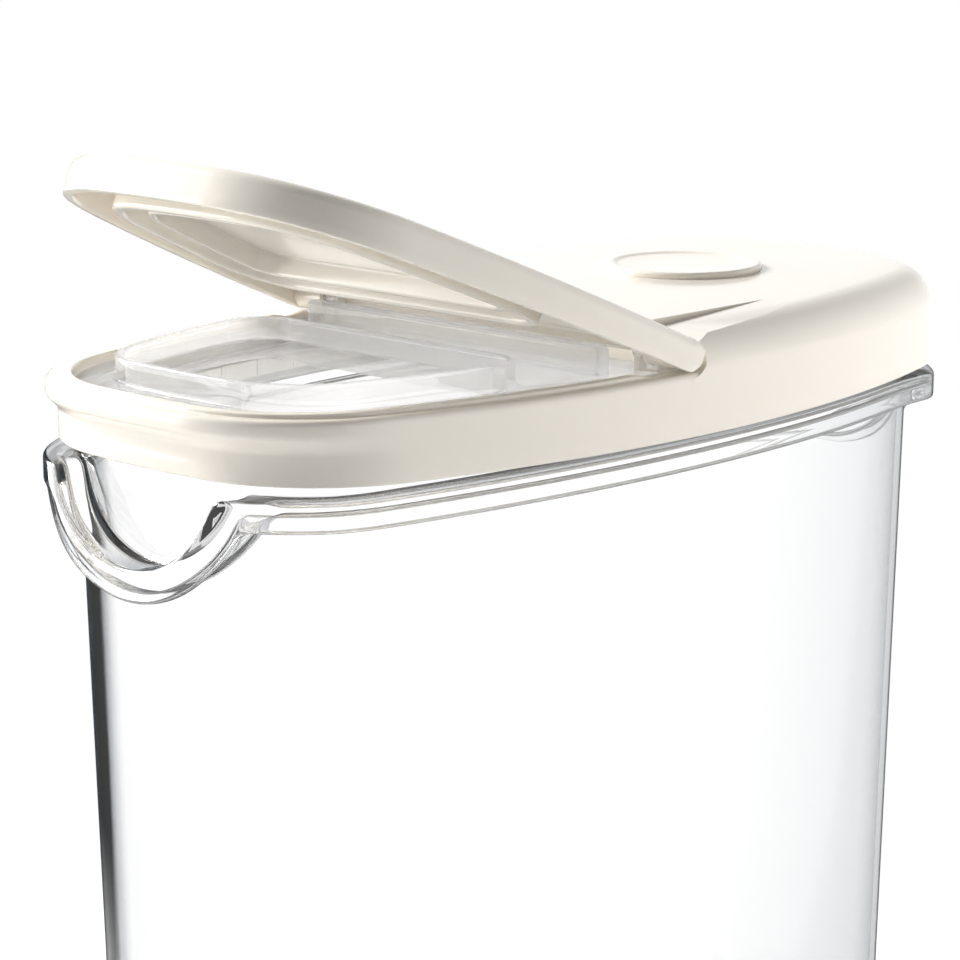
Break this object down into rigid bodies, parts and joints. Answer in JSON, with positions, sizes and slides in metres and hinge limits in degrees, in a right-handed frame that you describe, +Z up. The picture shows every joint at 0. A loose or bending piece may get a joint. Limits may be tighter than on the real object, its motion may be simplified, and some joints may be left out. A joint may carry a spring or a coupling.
{
  "type": "cereal container with flip spout",
  "caption": "Tall narrow clear container with a cream lift-off lid, a clear pouring collar and a hinged flap that closes over it.",
  "frame": {"origin": "centre of the footprint at the underside of the container, where it stands; midway between the ends of the flange", "axes": "+Z up, -X towards the pouring end under the flap, +X towards the fixed rear cover, Y across the width along the hinge axis"},
  "size_m": [0.2086, 0.1116, 0.2654],
  "materials": {
    "clear_plastic": "clear injection-moulded styrene, polished",
    "cream_plastic": "glossy injection-moulded plastic, warm off-white",
    "soft_seal": "translucent white silicone, satin"
  },
  "bodies": {
    "container": {"container": "clear_plastic"},
    "lid": {"lid_frame": "cream_plastic", "spout_insert": "clear_plastic", "lid_gasket": "soft_seal", "badge": "cream_plastic"},
    "flap": {"flap_shell": "cream_plastic", "flap_liner": "cream_plastic", "flap_seal": "soft_seal"}
  },
  "joints": [
    {"name": "lid_lift", "type": "slide", "parent": "container", "child": "lid", "axis": [0, 0, 1], "range_m": [0, 0.12]},
    {"name": "flap_hinge", "type": "hinge", "parent": "lid", "child": "flap", "pos_m": [-0.0103, 0, 0.226], "axis": [0, 1, 0], "range_deg": [-22.9, 67.1]}
  ]
}
